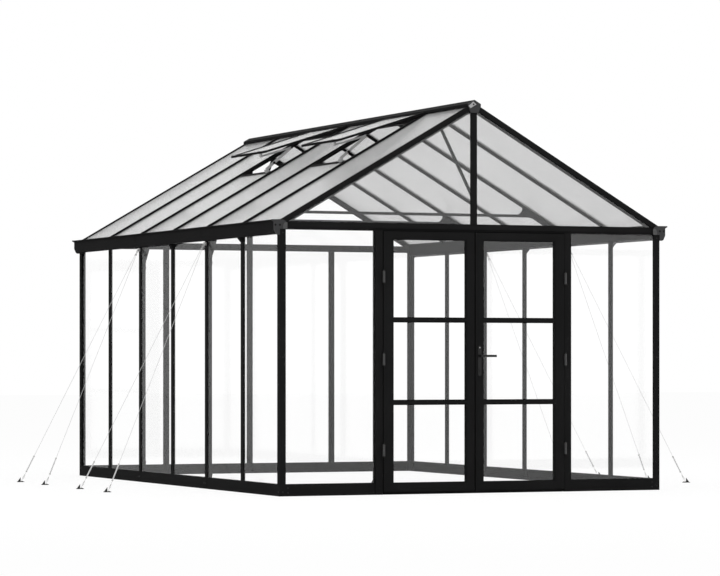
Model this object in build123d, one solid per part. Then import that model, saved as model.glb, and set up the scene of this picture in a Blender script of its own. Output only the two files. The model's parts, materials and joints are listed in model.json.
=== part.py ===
from build123d import *
import math
import os

# Grid of posts and rafters, all lengths in millimetres
bay = 750.0
bays_across = 4
bays_along = 6
edge = 10.0
eave_height = 1940.0
pitch = 30.0

# Clearances
fit = 0.3
joint_gap = 0.6
door_gap = 5.0
bore_over = 1.0

# Base rails
base_height = 84.0
base_wall = 3.0
base_head = 14.0
corner = 47.0
corner_leg = 20.0

# Glazing bars of the walls and the roof
post_recess = 7.0
cap_width = 55.0
cap_thick = 3.0
web_width = 8.0
flange_width = 40.0
flange_thick = 2.5
rib_width = 18.0
rib_slot = 8.0
rib_slot_depth = 7.0
bar_depth = 22.0
bite = 8.0
wall_sheet = 3.0
roof_sheet = 4.0

# Eave plates, eave beams and gutters
plate_drop = 80.0
beam_drop = 55.0
beam_lean = 10.0
beam_step = 15.0
beam_recess = 6.0
gutter_top = 9.0
gutter_floor_drop = 92.0
gutter_knee_drop = 60.0
gutter_floor = 27.0
gutter_flare = 16.0
gutter_lip = 18.0
gutter_lip_height = 8.0
gutter_wall = 2.0
gutter_inner_drop = 30.0
bracket_reach = 33.0
bracket_height = 38.0
bracket_width = 40.0
gutter_cap_thick = 6.0
gutter_cap_margin = 2.0
gutter_cap_hole = 6.0
gutter_cap_spacing = 34.0
outlet_block = 22.0
outlet_height = 4.0
rafter_overhang = 10.0
sheet_overhang = 14.0

# Gable frames
gable_height = 33.0
gable_depth = 40.0
gable_web = 20.0
gable_leg_height = 48.0
gable_post_width = 48.0
gable_post_recess = 4.0

# Ridge
ridge_width = 62.0
ridge_rise = 26.0
ridge_drop = 67.0
ridge_wing = 50.0
ridge_wing_thick = 3.0
ridge_lip = 19.0
ridge_cap_thick = 6.0
ridge_cap_hole = 4.0

# Trusses and braces
column_width = 40.0
tie_width = 20.0
tie_height = 21.0
tie_drop = 733.0
haunch_width = 30.0
haunch_height = 29.0
haunch_start = 1120.0
knee_foot_drop = 195.0
knee_foot_width = 8.0
knee_waist_drop = 100.0
knee_waist_width = 36.0
knee_head_width = 66.0
brace_width = 17.0
brace_height = 17.0
brace_angle = 44.0
brace_foot_drop = 632.0

# Roof vents on the left slope
front_vent_bay = 1
rear_vent_bay = 3
vent_sill = 755.0
vent_sill_width = 30.0
vent_open = 12.4
vent_length = 725.0
vent_margin = 5.0
vent_thick = 16.0
vent_frame = 20.0
vent_sheet_depth = 6.0
vent_hinge_rise = 12.0
arm_shift = 245.0
arm_lower_width = 22.0
arm_upper_width = 14.0
arm_thick = 6.0
arm_foot_width = 40.0
arm_foot_length = 24.0
arm_foot_height = 24.0
arm_apex_x = 468.0
arm_apex_rise = 82.0
arm_head = 49.0
arm_head_drop = 24.0
arm_shoe = 16.0
arm_pin = 8.0
arm_pin_length = 34.0

# Double door
jamb_width = 55.0
jamb_proud = 8.0
doorway_half = 722.0
door_stop = 12.0
stop_depth = 19.0
threshold_height = 12.0
threshold_stop = 30.0
leaf_thick = 38.0
leaf_proud = 15.0
leaf_bottom = 18.0
meeting_gap = 9.0
hinge_stile = 78.0
meeting_stile = 65.5
bottom_rail = 65.0
top_rail = 58.0
muntin = 32.0
panes = 3
bead = 6.0
bead_depth = 4.0
cover_width = 15.5
cover_thick = 3.0

# Hinges
hinge_heights = (316.0, 964.0, 1554.0)
hinge_offset = 12.0
knuckle_radius = 9.0
knuckle_length = 41.0
pin_radius = 4.0
pin_fit = 0.2
pin_end = 4.0
hinge_thick = 2.0
hinge_depth = 37.0

# Handle
handle_height = 990.0
handle_set = 30.0
handle_width = 28.0
handle_above = 75.0
handle_below = 146.0
handle_thick = 6.0
lock_below = 100.0
lock_radius = 8.5
lock_tail = 14.0
lock_proud = 3.0
spindle_radius = 4.0
lever_neck = 9.0
lever_reach = 42.0
lever_length = 113.0
lever_thick = 14.0
lever_height = 17.0
lever_round = 5.0

# Guy cables and ground anchors
cable_radius = 1.5
lug_out = 17.0
lug_height = 25.0
lug_width = 24.0
lug_drop = 8.0
lug_hole = 5.0
cable_start = 6.0
anchor_out = 875.0
anchor_spread = 318.0
anchor_base = 50.0
anchor_base_width = 40.0
anchor_plate = 4.0
anchor_height = 32.0
anchor_thick = 6.0
turnbuckle_radius = 5.0
turnbuckle_start = 90.0
turnbuckle_length = 130.0

# Sizes worked out from the ones above
half_x = bays_across * bay / 2 + edge
half_y = bays_along * bay / 2 + edge
side_lines = [bay * (i - bays_along / 2) for i in range(1, bays_along)]
back_lines = [bay * (i - bays_across / 2) for i in range(1, bays_across)]
truss_lines = (side_lines[1], side_lines[-2])
vent_bays = [front_vent_bay, rear_vent_bay]
bracket_lines = (side_lines[0], side_lines[len(side_lines) // 2])
slope = math.tan(math.radians(pitch))
slope_cos = math.cos(math.radians(pitch))
slope_sin = math.sin(math.radians(pitch))
roof_peak = eave_height + half_x * slope
wall_gap = wall_sheet + 2 * fit
roof_gap = roof_sheet + 2 * fit
sheet_out = post_recess + cap_thick + fit
sheet_in = sheet_out + wall_sheet
plate_bottom = eave_height - plate_drop
beam_bottom = eave_height - beam_drop
gutter_bottom = eave_height - gutter_floor_drop
gutter_out = half_x + gutter_floor + gutter_flare
ridge_half = ridge_width / 2
ridge_top = roof_peak + ridge_rise
ridge_bottom = roof_peak - ridge_drop
post_half = gable_post_width / 2
column_in = half_x - corner
column_out = half_x - post_recess - bar_depth
leaf_hinge = doorway_half - door_gap
leaf_meet = meeting_gap / 2
leaf_front = -half_y - leaf_proud
leaf_back = leaf_front + leaf_thick
leaf_top = beam_bottom - door_gap
stop_front = leaf_back + door_gap
hinge_y = leaf_front - hinge_offset
jamb_front = -half_y - jamb_proud
jamb_out = doorway_half + jamb_width
handle_x = leaf_meet + handle_set
reach = 10 * (half_x + half_y)
roof_plane = Plane(
    origin=(0, 0, roof_peak),
    x_dir=(slope_cos, 0, -slope_sin),
    z_dir=(slope_sin, 0, slope_cos),
)


def roof_z(x, depth=0.0):
    """Height of the roof line at x, less a depth square to the slope."""
    return roof_peak - x * slope - depth / slope_cos


def block(x0, x1, y0, y1, z0, z1):
    """A straight block between two opposite corners."""
    middle = ((x0 + x1) / 2, (y0 + y1) / 2, (z0 + z1) / 2)
    return Pos(*middle) * Box(x1 - x0, y1 - y0, z1 - z0)


def prism(points, run):
    """A flat outline through some points, pushed along a vector."""
    face = Face(Wire.make_polygon([Vector(*point) for point in points]))
    return Solid.extrude(face, Vector(*run))


def along_y(outline, y0, y1):
    """An outline in X and Z, run from y0 to y1."""
    return prism([(x, y0, z) for x, z in outline], (0, y1 - y0, 0))


def along_x(outline, x0, x1):
    """An outline in Y and Z, run from x0 to x1."""
    return prism([(x0, y, z) for y, z in outline], (x1 - x0, 0, 0))


def along_z(outline, z0, z1):
    """An outline in X and Y, run from z0 to z1."""
    return prism([(x, y, z0) for x, y in outline], (0, 0, z1 - z0))


def on_roof(s0, s1, y0, y1, d0, d1):
    """A block on the right slope: s down the slope, d below the roof line."""
    return roof_plane.location * block(s0, s1, y0, y1, -d1, -d0)


def rod(start, end, radius):
    """A round rod between two points."""
    a, b = Vector(*start), Vector(*end)
    plane = Plane(origin=a, z_dir=b - a)
    return Solid.make_cylinder(radius, (b - a).length, plane)


def bore_y(x, z, y0, y1, radius):
    """A cutter for a round hole along Y, from just before y0 to just past y1."""
    return rod((x, y0 - bore_over, z), (x, y1 + bore_over, z), radius)


def hex_rod(start, end, radius):
    """A six-sided rod between two points."""
    plane = Plane(origin=start, z_dir=end - start)
    turns = [math.radians(360 / 6 * i) for i in range(6)]
    rim = [plane.from_local_coords((radius * math.cos(a), radius * math.sin(a), 0)) for a in turns]
    return prism([tuple(point) for point in rim], tuple(end - start))


def column_x(shape, x0, x1):
    """The stretch of a shape between two distances from the middle."""
    return shape & block(x0, x1, -reach, reach, -reach, reach)


def left(shapes):
    """The left-hand copies of right-hand shapes."""
    return [mirror(shape, about=Plane.YZ) for shape in shapes]


def back(shapes):
    """The rear copies of front shapes."""
    return [mirror(shape, about=Plane.XZ) for shape in shapes]


def bar_outline(gap):
    """Half section of a glazing bar: depth from its outer face, and half width."""
    seat = cap_thick + gap
    foot = seat + flange_thick
    half = [
        (0, cap_width / 2), (cap_thick, cap_width / 2),
        (cap_thick, web_width / 2), (seat, web_width / 2),
        (seat, flange_width / 2), (foot, flange_width / 2),
        (foot, rib_width / 2), (bar_depth, rib_width / 2),
        (bar_depth, rib_slot / 2), (bar_depth - rib_slot_depth, rib_slot / 2),
    ]
    return half + [(u, -v) for u, v in reversed(half)]


def rail_outline():
    """Section of a base rail: distance in from its outer face, and height."""
    shelf = base_height - base_head
    return [
        (0, 0), (corner, 0), (corner, base_wall), (base_wall, base_wall),
        (base_wall, shelf), (corner, shelf), (corner, base_height),
        (sheet_in + fit, base_height), (sheet_in + fit, base_height - bite),
        (sheet_out - fit, base_height - bite), (sheet_out - fit, base_height),
        (0, base_height),
    ]


def thirds(y_end):
    """Three lengths of a side rail or gutter, jointed at the trusses."""
    half = joint_gap / 2
    first, last = truss_lines
    return [(-y_end, first - half), (first + half, last - half), (last + half, y_end)]


def base_rails_right():
    outline = [(half_x - u, v) for u, v in rail_outline()]
    return [along_y(outline, y0, y1) for y0, y1 in thirds(half_y - corner)]


def base_rails_front():
    outline = [(u - half_y, v) for u, v in rail_outline()]
    rail = along_x(outline, jamb_out, half_x - corner)
    return [rail] + left([rail])


def base_rail_back():
    outline = [(half_y - u, v) for u, v in rail_outline()]
    return [along_x(outline, corner - half_x, half_x - corner)]


def door_threshold():
    outline = [
        (stop_front, 0), (stop_front + stop_depth, 0), (stop_front + stop_depth, threshold_stop),
        (stop_front, threshold_stop), (stop_front, threshold_height),
        (-half_y, threshold_height), (-half_y, 0),
    ]
    return [along_x(outline, -doorway_half + door_stop, doorway_half - door_stop)]


def corner_posts():
    x0, y0 = half_x - corner, corner - half_y
    side = block(
        half_x - sheet_in - fit, half_x - sheet_out + fit,
        y0 - bite - fit, y0, base_height - bite, beam_bottom,
    )
    front = block(
        x0, x0 + bite + fit, sheet_out - fit - half_y, sheet_in + fit - half_y,
        base_height - bite, beam_bottom,
    )
    post = block(x0, half_x, -half_y, y0, 0, beam_bottom) - side - front
    post -= block(x0, half_x - corner_leg, corner_leg - half_y, y0, 0, beam_bottom)
    pair = [post] + left([post])
    return pair + back(pair)


def side_posts_right():
    posts = []
    for line in side_lines:
        outline = [(half_x - post_recess - u, line + v) for u, v in bar_outline(wall_gap)]
        posts.append(along_z(outline, base_height, plate_bottom))
    return posts


def back_posts():
    posts = []
    for line in back_lines:
        outline = [(line + v, half_y - post_recess - u) for u, v in bar_outline(wall_gap)]
        posts.append(along_z(outline, base_height, beam_bottom))
    return posts


def truss_columns_right():
    half = column_width / 2
    return [
        block(column_in, column_out, line - half, line + half, base_height, plate_bottom)
        for line in truss_lines
    ]


def hinge_plate(x, z0, z1, grow):
    """Flat plate of a hinge, let into the face right of x; its pocket is grown by fit."""
    return block(x, x + hinge_thick, hinge_y, hinge_y + hinge_depth + grow, z0 - grow, z1 + grow)


def door_jamb():
    rear = stop_front + stop_depth
    outline = [
        (doorway_half, jamb_front), (jamb_out, jamb_front), (jamb_out, rear),
        (doorway_half - door_stop, rear), (doorway_half - door_stop, stop_front),
        (doorway_half, stop_front),
    ]
    groove = block(
        jamb_out - bite - fit, jamb_out, sheet_out - fit - half_y, sheet_in + fit - half_y,
        base_height - bite, beam_bottom,
    )
    jamb = along_z(outline, 0, beam_bottom) - groove
    for height in hinge_heights:
        jamb -= hinge_plate(doorway_half, height - knuckle_length, height, fit)
    return jamb


def sheet_spans(lines, end):
    """Start and end of each wall or roof sheet between the bars."""
    half = web_width / 2 + fit
    starts = [-end] + [line + half for line in lines]
    ends = [line - half for line in lines] + [end]
    return list(zip(starts, ends))


def wall_panels_right():
    x0, x1 = half_x - sheet_in, half_x - sheet_out
    top = plate_bottom + bite
    spans = sheet_spans(side_lines, half_y - corner + bite)
    return [block(x0, x1, y0, y1, base_height - bite, top) for y0, y1 in spans]


def wall_panels_back():
    y0, y1 = half_y - sheet_in, half_y - sheet_out
    top = beam_bottom + bite
    spans = sheet_spans(back_lines, half_x - corner + bite)
    return [block(x0, x1, y0, y1, base_height - bite, top) for x0, x1 in spans]


def wall_panels_front():
    panel = block(
        jamb_out - bite, half_x - corner + bite, sheet_out - half_y, sheet_in - half_y,
        base_height - bite, beam_bottom + bite,
    )
    return [panel] + left([panel])


def eave_plate_right():
    x0 = half_x - corner
    top = cap_thick + roof_gap
    outline = [
        (x0, plate_bottom), (half_x - sheet_in - fit, plate_bottom),
        (half_x - sheet_in - fit, plate_bottom + bite + fit),
        (half_x - sheet_out + fit, plate_bottom + bite + fit),
        (half_x - sheet_out + fit, plate_bottom), (half_x, plate_bottom),
        (half_x, roof_z(half_x, top)), (x0, roof_z(x0, top)),
    ]
    plate = along_y(outline, corner - half_y, half_y - corner)
    half = flange_width / 2 + fit
    for line in side_lines:
        plate -= on_roof(0, reach, line - half, line + half, 0, bar_depth)
    return [plate]


def gutters_right():
    floor = gutter_bottom + gutter_wall
    knee = eave_height - gutter_knee_drop
    top = eave_height + gutter_top
    inner = eave_height - gutter_inner_drop
    lip = top - gutter_lip_height
    outline = [
        (half_x, inner), (half_x, gutter_bottom), (half_x + gutter_floor, gutter_bottom),
        (gutter_out, knee), (gutter_out, lip), (gutter_out + gutter_lip, lip),
        (gutter_out + gutter_lip, top), (gutter_out - gutter_wall, top),
        (gutter_out - gutter_wall, knee + gutter_wall / 2),
        (half_x + gutter_floor - gutter_wall / 2, floor), (half_x + gutter_wall, floor),
        (half_x + gutter_wall, inner),
    ]
    return [along_y(outline, y0, y1) for y0, y1 in thirds(half_y)]


def gutter_end_caps():
    top = eave_height + gutter_top + gutter_cap_margin
    bottom = gutter_bottom - gutter_cap_margin
    knee = eave_height - gutter_knee_drop
    out = gutter_out + gutter_lip + gutter_cap_margin
    outline = [
        (half_x - corner, beam_bottom), (half_x, beam_bottom), (half_x, bottom),
        (half_x + gutter_floor + gutter_cap_margin, bottom), (gutter_out + gutter_cap_margin, knee),
        (gutter_out + gutter_cap_margin, top - gutter_lip), (out, top - gutter_lip_height), (out, top),
        (half_x - corner / 2, top), (half_x - corner, eave_height),
    ]
    y0, y1 = -half_y - gutter_cap_thick, -half_y
    cap = along_y(outline, y0, y1)
    for x in (half_x, half_x + gutter_cap_spacing):
        cap -= bore_y(x, beam_bottom + beam_drop / 2, y0, y1, gutter_cap_hole)
    outlet = block(half_x, half_x + outlet_block, y0, y1, bottom - outlet_height, bottom)
    cap = cap + outlet
    pair = [cap] + left([cap])
    return pair + back(pair)


def gutter_brackets():
    face = half_x - post_recess
    outline = [
        (face, gutter_bottom), (face, gutter_bottom - bracket_height),
        (face + bracket_reach, gutter_bottom),
    ]
    half = bracket_width / 2
    pair = [along_y(outline, line - half, line + half) for line in bracket_lines]
    return pair + left(pair)


def gable_outline(grow):
    """Outline of a gable sheet right of its post, grown square to each edge."""
    x0 = post_half - bite - grow
    z0 = eave_height - bite - grow
    depth = gable_height - bite - grow
    x1 = (roof_z(0, depth) - z0) / slope
    return [(x0, z0), (x1, z0), (x0, roof_z(x0, depth))]


def gable_pocket(grow):
    y0, y1 = sheet_out - grow - half_y, sheet_in + grow - half_y
    sheet = along_y(gable_outline(grow), y0, y1)
    below_ridge = block(0, half_x, -half_y, half_y, 0, ridge_bottom - fit + grow)
    return sheet & below_ridge


def gable_panels_front():
    sheet = gable_pocket(0)
    return [sheet] + left([sheet])


def eave_beam(doorway):
    groove_low, groove_high = sheet_out - fit, sheet_in + fit
    outline = [
        (beam_recess, beam_bottom), (groove_low, beam_bottom),
        (groove_low, beam_bottom + bite + fit), (groove_high, beam_bottom + bite + fit),
        (groove_high, beam_bottom), (corner, beam_bottom), (corner, eave_height),
        (beam_lean - fit, eave_height), (0, beam_bottom + beam_step),
        (beam_recess, beam_bottom + beam_step),
    ]
    beam = along_x([(u - half_y, z) for u, z in outline], -half_x, half_x)
    pocket = gable_pocket(fit)
    beam = beam - pocket - mirror(pocket, about=Plane.YZ)
    under_sheet = on_roof(0, reach, gable_depth - half_y - bite - fit, corner - half_y,
                          -corner, cap_thick + roof_gap)
    beam = beam - under_sheet - mirror(under_sheet, about=Plane.YZ)
    if doorway:
        inner = doorway_half - door_stop
        beam += block(-inner, inner, stop_front, stop_front + stop_depth,
                      leaf_top - door_stop, beam_bottom)
    return beam


def gable_rafter():
    y0, y1 = -half_y, gable_depth - half_y
    rafter = on_roof(0, reach, y0, y1, 0, gable_height)
    rafter += on_roof(0, reach, gable_web - half_y, y1, 0, gable_leg_height)
    rafter -= on_roof(0, reach, y1 - bite - fit, y1, cap_thick, cap_thick + roof_gap)
    rafter &= block(ridge_half, half_x, y0, y1, eave_height, reach)
    return rafter - gable_pocket(fit)


def gable_post():
    pocket = gable_pocket(fit)
    post = block(-post_half, post_half, gable_post_recess - half_y, gable_web - half_y,
                 eave_height, ridge_bottom)
    return post - pocket - mirror(pocket, about=Plane.YZ)


def rafters_right():
    rafters = []
    run = (reach, 0, 0)
    for line in side_lines:
        outline = [(0, line + v, -u) for u, v in bar_outline(roof_gap)]
        bar = roof_plane.location * prism(outline, run)
        rafters.append(column_x(bar, ridge_half, half_x + rafter_overhang))
    return rafters


def roof_panels(vented):
    """Roof sheets of the right slope, cut short below the sill in the vented bays."""
    panels = []
    d0 = cap_thick + fit
    spans = sheet_spans(side_lines, half_y - gable_depth + bite)
    for number, (y0, y1) in enumerate(spans):
        sill_end = vent_sill + vent_sill_width - bite
        s0 = sill_end if vented and number in vent_bays else 0
        sheet = on_roof(s0, reach, y0, y1, d0, d0 + roof_sheet)
        panels.append(column_x(sheet, ridge_half + fit, half_x + sheet_overhang))
    return panels


def ridge_beam():
    under = roof_z(0) + ridge_rise - ridge_wing_thick / slope_cos
    inner = ridge_wing - ridge_wing_thick
    half = [
        (ridge_half, ridge_bottom), (ridge_half, under - ridge_half * slope),
        (inner, under - inner * slope), (inner, ridge_top - ridge_wing * slope - ridge_lip),
        (ridge_wing, ridge_top - ridge_wing * slope - ridge_lip),
        (ridge_wing, ridge_top - ridge_wing * slope),
    ]
    outline = half + [(0, ridge_top)] + [(-x, z) for x, z in reversed(half)]
    return along_y(outline, -half_y, half_y)


def ridge_end_cap():
    half = [
        (ridge_half, ridge_bottom), (ridge_wing, ridge_top - ridge_wing * slope - ridge_lip),
        (ridge_wing, ridge_top - ridge_wing * slope),
    ]
    outline = half + [(0, ridge_top)] + [(-x, z) for x, z in reversed(half)]
    y0, y1 = -half_y - ridge_cap_thick, -half_y
    z = (ridge_top + ridge_bottom) / 2
    return along_y(outline, y0, y1) - bore_y(0, z, y0, y1, ridge_cap_hole)


def haunch_line(x):
    """Height of the lower edge of a truss haunch."""
    return roof_z(x, bar_depth) - haunch_height


def truss_tie():
    z0 = roof_peak - tie_drop - tie_height / 2
    z1 = z0 + tie_height
    x0 = (haunch_line(0) - z0) / slope
    x1 = (haunch_line(0) - z1) / slope
    half = tie_width / 2
    outline = [(-x0, z0), (x0, z0), (x1, z1), (-x1, z1)]
    return [along_y(outline, line - half, line + half) for line in truss_lines]


def truss_haunches_right():
    half = haunch_width / 2
    head = column_in - knee_head_width
    outline = [
        (column_in, eave_height - knee_foot_drop), (column_in, roof_z(column_in, bar_depth)),
        (haunch_start, roof_z(haunch_start, bar_depth)), (haunch_start, haunch_line(haunch_start)),
        (head, haunch_line(head)),
        (column_in - knee_waist_width, eave_height - knee_waist_drop),
        (column_in - knee_foot_width, eave_height - knee_foot_drop),
    ]
    return [along_y(outline, line - half, line + half) for line in truss_lines]


def ridge_brace():
    """Diagonal bar from the front gable post up to the ridge."""
    lean = math.tan(math.radians(brace_angle))
    foot_y = gable_web - half_y
    low = ridge_bottom - brace_foot_drop
    rise = brace_height / math.cos(math.radians(brace_angle))
    outline = [
        (foot_y, low), (foot_y, low + rise),
        (foot_y + (ridge_bottom - low - rise) / lean, ridge_bottom),
        (foot_y + (ridge_bottom - low) / lean, ridge_bottom),
    ]
    return along_x(outline, -brace_width / 2, brace_width / 2)


def vent_middle(number):
    """Middle of a vented bay."""
    return bay * (number + 0.5 - bays_along / 2)


def vent_plane(number):
    """Plane of an open window on the right slope, its X axis down the window."""
    angle = math.radians(pitch - vent_open)
    z = ridge_top - ridge_wing * slope - ridge_lip + vent_hinge_rise
    return Plane(
        origin=(ridge_wing, vent_middle(number), z),
        x_dir=(math.cos(angle), 0, -math.sin(angle)),
        z_dir=(math.sin(angle), 0, math.cos(angle)),
    )


def vent_under(number, x):
    """Height of the underside of an open window at x."""
    angle = math.radians(pitch - vent_open)
    z = vent_plane(number).origin.Z
    return z - (x - ridge_wing) * math.tan(angle) - vent_thick / math.cos(angle)


def vent_sill_bar(number):
    middle = vent_middle(number)
    wide = bay / 2 - cap_width / 2 - fit
    deep = bay / 2 - rib_width / 2 - fit
    s0, s1 = vent_sill, vent_sill + vent_sill_width
    seat = cap_thick + roof_gap
    low = seat + flange_thick + fit
    bar = on_roof(s0, s1, middle - wide, middle + wide, 0, low)
    bar += on_roof(s0, s1, middle - deep, middle + deep, low, bar_depth)
    return bar - on_roof(s1 - bite - fit, s1, middle - bay, middle + bay, cap_thick, seat)


def vent_window(number):
    """Frame and sheet of an open roof window."""
    half = bay / 2 - vent_margin
    place = vent_plane(number).location
    start = -vent_thick
    frame = block(start, vent_length, -half, half, -vent_thick, 0)
    frame -= block(vent_frame, vent_length - vent_frame, vent_frame - half, half - vent_frame,
                   -vent_thick, 0)
    inset = vent_frame - bite
    low, high = -vent_sheet_depth - roof_sheet, -vent_sheet_depth
    sheet = block(inset, vent_length - inset, inset - half, half - inset, low, high)
    frame -= block(inset - fit, vent_length - inset + fit, inset - half - fit, half - inset + fit,
                   low - fit, high + fit)
    return column_x(place * frame, ridge_wing, reach), place * sheet


def flat_arm(start, end, width, y0, y1):
    """A flat bar on edge between two points of X and Z."""
    run = Vector(end[0] - start[0], 0, end[1] - start[1]).normalized() * (width / 2)
    side = (-run.Z, run.X)
    outline = [
        (start[0] + side[0], start[1] + side[1]), (end[0] + side[0], end[1] + side[1]),
        (end[0] - side[0], end[1] - side[1]), (start[0] - side[0], start[1] - side[1]),
    ]
    return along_y(outline, y0, y1)


def vent_opener(number):
    """Sill foot, two flat arms side by side, the pin between them and the upper shoe."""
    middle = vent_middle(number) - arm_shift
    half = arm_foot_width / 2
    s = vent_sill + vent_sill_width / 2
    foot = on_roof(s - arm_foot_length / 2, s + arm_foot_length / 2, middle - half, middle + half,
                   -arm_foot_height, 0)
    base = (s * slope_cos + arm_foot_height * slope_sin,
            roof_peak - s * slope_sin + arm_foot_height * slope_cos)
    apex = (arm_apex_x, roof_z(arm_apex_x) + arm_apex_rise)
    head_x = ridge_wing + vent_length - arm_head
    head = (head_x, vent_under(number, head_x) - arm_head_drop)
    lower = flat_arm(base, apex, arm_lower_width, middle - arm_thick, middle)
    upper = flat_arm(apex, head, arm_upper_width, middle, middle + arm_thick)
    pin = rod((apex[0], middle - arm_pin_length / 2, apex[1]),
              (apex[0], middle + arm_pin_length / 2, apex[1]), arm_pin)
    shoe_x0, shoe_x1 = head_x - arm_shoe / 2, head_x + arm_shoe / 2
    shoe = along_y([
        (shoe_x0, head[1] - arm_upper_width / 2), (shoe_x1, head[1] - arm_upper_width / 2),
        (shoe_x1, vent_under(number, shoe_x1)), (shoe_x0, vent_under(number, shoe_x0)),
    ], middle - half, middle + half)
    return foot + lower + upper + pin + shoe


def pane_spans():
    """Clear heights of the panes of a door leaf."""
    z0, z1 = leaf_bottom + bottom_rail, leaf_top - top_rail
    height = (z1 - z0 - (panes - 1) * muntin) / panes
    return [(z0 + i * (height + muntin), z0 + i * (height + muntin) + height) for i in range(panes)]


def door_leaf():
    """Frame of the right-hand door leaf, and its panes."""
    x0, x1 = leaf_meet + meeting_stile, leaf_hinge - hinge_stile
    frame = block(leaf_meet, leaf_hinge, leaf_front, leaf_back, leaf_bottom, leaf_top)
    middle = (leaf_front + leaf_back) / 2
    glass = []
    for z0, z1 in pane_spans():
        frame -= block(x0, x1, leaf_front, leaf_back, z0, z1)
        for y0, y1 in ((leaf_front, leaf_front + bead_depth), (leaf_back - bead_depth, leaf_back)):
            frame -= block(x0 - bead, x1 + bead, y0, y1, z0 - bead, z1 + bead)
        pocket = [x0 - bite, x1 + bite, middle - wall_sheet / 2, middle + wall_sheet / 2,
                  z0 - bite, z1 + bite]
        glass.append(block(*pocket))
        grown = [value + (fit if i % 2 else -fit) for i, value in enumerate(pocket)]
        frame -= block(*grown)
    for height in hinge_heights:
        frame -= hinge_plate(leaf_hinge - hinge_thick, height, height + knuckle_length, fit)
    return frame, glass


def hinge(height):
    """Moving and fixed halves of one right-hand hinge, their plates let in flush."""
    at = (doorway_half, hinge_y)
    low, high = height - joint_gap / 2, height + joint_gap / 2
    top, bottom = height + knuckle_length, height - knuckle_length
    bore = rod((*at, high - bore_over), (*at, top), pin_radius + pin_fit)
    plate = hinge_plate(leaf_hinge - hinge_thick, high, top, 0)
    moving = rod((*at, high), (*at, top), knuckle_radius) + plate - bore
    pin = rod((*at, bottom), (*at, top + pin_end), pin_radius)
    fixed = rod((*at, bottom), (*at, low), knuckle_radius) + pin
    return moving, fixed + hinge_plate(doorway_half, bottom, low, 0)


def handle_slot(width, above, below, y0, y1):
    """A round-ended bar standing in the leaf's face round the spindle."""
    radius = width / 2
    x, z = handle_x, handle_height
    bar = block(x - radius, x + radius, y0, y1, z - below + radius, z + above - radius)
    for end in (z - below + radius, z + above - radius):
        bar += rod((x, y0, end), (x, y1, end), radius)
    return bar


def handle_plate():
    """Outer handle plate with the key barrel below the lever."""
    y0, y1 = leaf_front - handle_thick, leaf_front
    plate = handle_slot(handle_width, handle_above, handle_below, y0, y1)
    z = handle_height - lock_below
    barrel = rod((handle_x, y0 - lock_proud, z), (handle_x, y0, z), lock_radius)
    barrel += block(handle_x - lock_radius / 2, handle_x + lock_radius / 2, y0 - lock_proud, y0,
                    z - lock_tail, z)
    return plate + barrel - bore_y(handle_x, handle_height, y0, y1, spindle_radius + fit)


def across_leaf(shape):
    """The copy of a shape on the other face of the door leaf."""
    return mirror(shape, about=Plane(origin=(0, (leaf_front + leaf_back) / 2, 0), z_dir=(0, 1, 0)))


def lever():
    """Outer and inner levers on one spindle."""
    y0 = leaf_front - handle_thick - fit
    tip = leaf_front - handle_thick - lever_reach
    grip = block(handle_x - lever_neck, handle_x + lever_length, tip - lever_thick / 2,
                 tip + lever_thick / 2, handle_height - lever_height / 2,
                 handle_height + lever_height / 2)
    grip = fillet(grip.edges().filter_by(Axis.X), lever_round)
    neck = rod((handle_x, tip, handle_height), (handle_x, y0, handle_height), lever_neck)
    outer = grip + neck
    middle = (leaf_front + leaf_back) / 2
    spindle = rod((handle_x, y0, handle_height), (handle_x, 2 * middle - y0, handle_height),
                  spindle_radius)
    return outer + spindle + across_leaf(outer)


def spindle_bore():
    return bore_y(handle_x, handle_height, leaf_front, leaf_back, spindle_radius + fit)


def cover_strip():
    return block(leaf_meet, leaf_meet + cover_width, leaf_front - cover_thick, leaf_front,
                 leaf_bottom, leaf_top)


def cable_lug(line):
    face = half_x - post_recess
    top = gutter_bottom - lug_drop
    lug = block(face, face + lug_out, line - lug_width / 2, line + lug_width / 2,
                top - lug_height, top)
    z = top - lug_height / 2
    return lug - rod((face + lug_out / 2, line - lug_width, z),
                     (face + lug_out / 2, line + lug_width, z), lug_hole)


def anchor(y):
    x = half_x + anchor_out
    base = block(x - anchor_base / 2, x + anchor_base / 2, y - anchor_base_width / 2,
                 y + anchor_base_width / 2, 0, anchor_plate)
    fin = [
        (x, anchor_plate), (x + anchor_base / 2, anchor_plate), (x, anchor_plate + anchor_height),
    ]
    return base + along_y(fin, y - anchor_thick / 2, y + anchor_thick / 2)


def guy_cable(line, side):
    """One taut cable from a post lug down to its anchor, with a turnbuckle."""
    lug_face = half_x - post_recess + lug_out
    start = Vector(lug_face, line + side * cable_start, gutter_bottom - lug_drop - lug_height / 2)
    foot = Vector(half_x + anchor_out - anchor_thick, line + side * anchor_spread, anchor_plate)
    run = (foot - start).normalized()
    cable = hex_rod(start - run * lug_out, foot + run * lug_out, cable_radius)
    near = foot - run * turnbuckle_start
    cable += hex_rod(near, near - run * turnbuckle_length, turnbuckle_radius)
    return cable & block(lug_face + fit, reach, -reach, reach, anchor_plate + fit, reach)


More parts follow.
